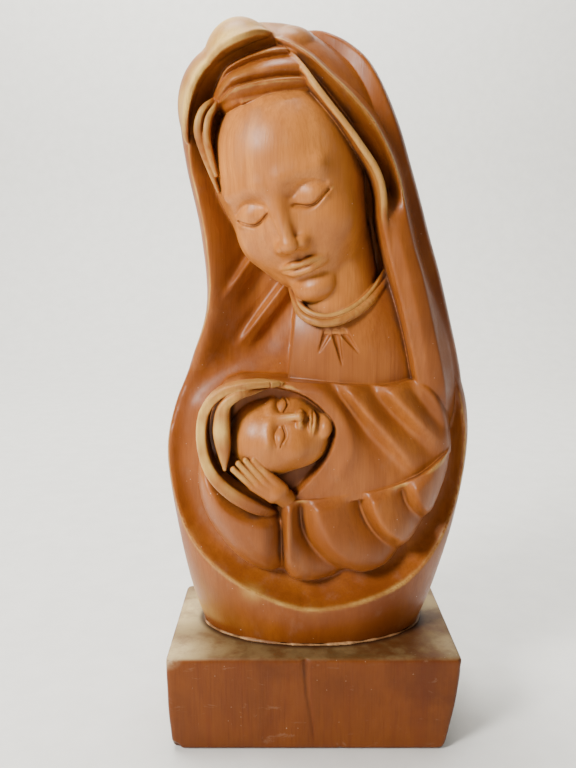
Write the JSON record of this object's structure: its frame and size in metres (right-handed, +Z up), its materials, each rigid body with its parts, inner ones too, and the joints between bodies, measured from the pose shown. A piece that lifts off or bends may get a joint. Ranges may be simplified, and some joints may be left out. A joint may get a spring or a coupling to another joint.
{
  "type": "madonna statue",
  "caption": "Carved wooden statue of a hooded mother leaning over a swaddled child inside an open mantle, standing on a block plinth.",
  "frame": {"origin": "centre of the plinth's underside", "axes": "+Z up, the statue faces -Y, +X to the viewer's right"},
  "size_m": [0.1119, 0.0622, 0.252],
  "materials": {
    "carved_skin": "satin orange-brown stain and varnish, polished smooth",
    "stained_cloth": "satin orange-brown stain and varnish over smoothed folds",
    "stained_mantle": "satin brown stain and varnish, darker in the hollows",
    "worn_edge": "stain rubbed back to pale wood along raised edges",
    "plinth": "brown stain on the sides, worn pale and greyish on top",
    "dowel": "bare wood",
    "glue": "dried pale glue"
  },
  "bodies": {
    "root": {"dowel_left": "dowel", "dowel_right": "dowel", "madonna_head": "carved_skin", "child_head": "carved_skin", "child_hand": "carved_skin", "neck": "carved_skin", "hair_band_top": "stained_mantle", "hair_band_middle": "stained_mantle", "hair_band_low": "stained_mantle", "hair_side_lock": "stained_mantle", "child_hair_band": "worn_edge", "child_hood_band": "worn_edge", "blanket_roll": "stained_cloth", "blanket": "stained_cloth", "collar_band": "worn_edge", "bodice": "stained_cloth", "hood_lobe": "worn_edge", "veil_edge_right": "worn_edge", "veil_fall_right": "stained_cloth", "veil_fall_left": "stained_cloth", "veil_pleat_upper": "stained_mantle", "veil_pleat_lower": "stained_mantle", "veil_fold_outer": "stained_cloth", "veil_fold_back": "stained_mantle", "sleeve_shoulder": "stained_cloth", "sleeve_pleat_a": "stained_cloth", "sleeve_pleat_b": "stained_cloth", "sleeve_pleat_c": "stained_cloth", "sleeve_pleat_d": "stained_cloth", "mantle": "stained_mantle", "plinth": "plinth", "glue_bead": "glue"}
  },
  "joints": []
}
